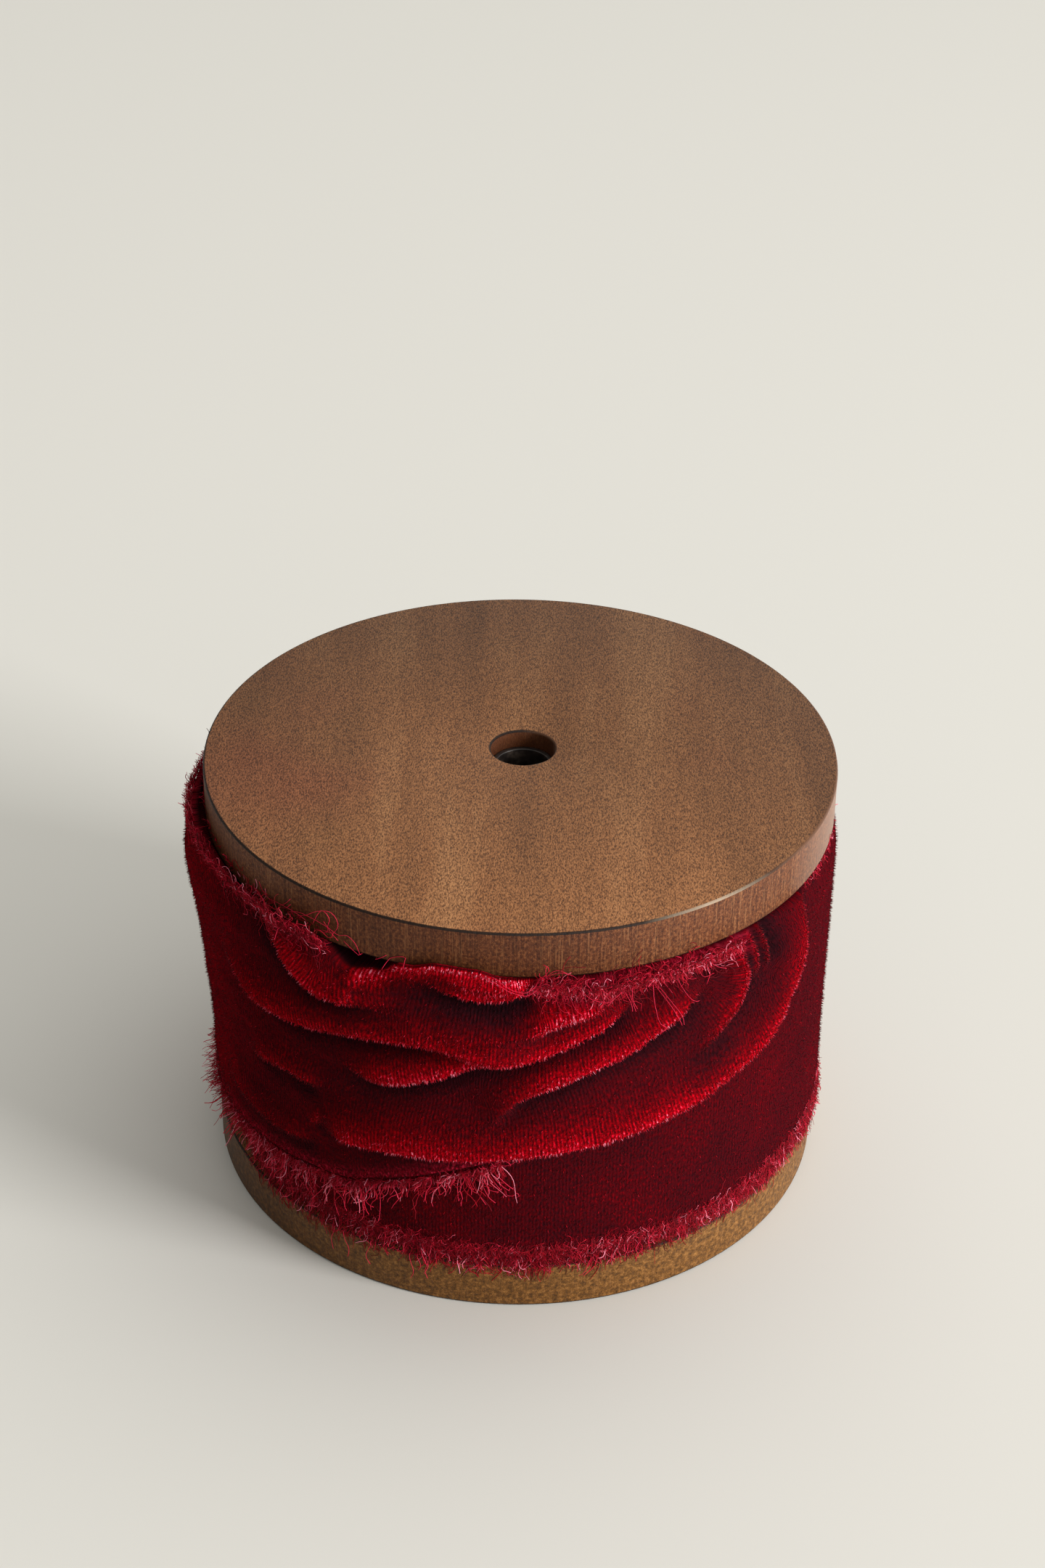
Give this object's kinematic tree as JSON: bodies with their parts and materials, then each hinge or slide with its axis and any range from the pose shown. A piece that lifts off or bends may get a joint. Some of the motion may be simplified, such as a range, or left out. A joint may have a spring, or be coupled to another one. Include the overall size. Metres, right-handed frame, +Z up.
{
  "type": "frayed velvet ribbon wound on a wooden spool",
  "caption": "Crimson velvet ribbon with torn, frayed edges, wound and bunched in folds on a stained wooden spool with round flanges and a through hole.",
  "frame": {"origin": "middle of the part's footprint box, on the surface it stands on; the spool's axis stands 1.0 mm to its +X side, because the ribbon flares out on the left", "axes": "+Z up along the spool's axis; -Y is the front, where the ribbon's outer turn is bunched in folds"},
  "size_m": [0.0848, 0.0868, 0.057],
  "materials": {
    "stained_wood": "stained and lightly waxed plywood, fine open grain",
    "tube_board": "dark rolled board with a slight sheen on its rim",
    "velvet": "crimson woven velvet, short cut pile in fine rows",
    "loose_thread": "loose torn viscose threads, pinkish crimson"
  },
  "bodies": {
    "root": {"spool_base": "stained_wood", "spool_tube": "tube_board", "spool_top": "stained_wood", "velvet_roll": "velvet", "fray_top_left": "loose_thread", "fray_top_tangle": "loose_thread", "fray_top_front": "loose_thread", "fray_top_right": "loose_thread", "fray_top_back": "loose_thread", "fray_top_back_left": "loose_thread", "fray_turn_left": "loose_thread", "fray_turn_front": "loose_thread", "fray_under_front": "loose_thread", "fray_under_right": "loose_thread", "fray_under_back": "loose_thread", "fray_under_rear": "loose_thread", "fray_under_back_left": "loose_thread"}
  },
  "joints": []
}
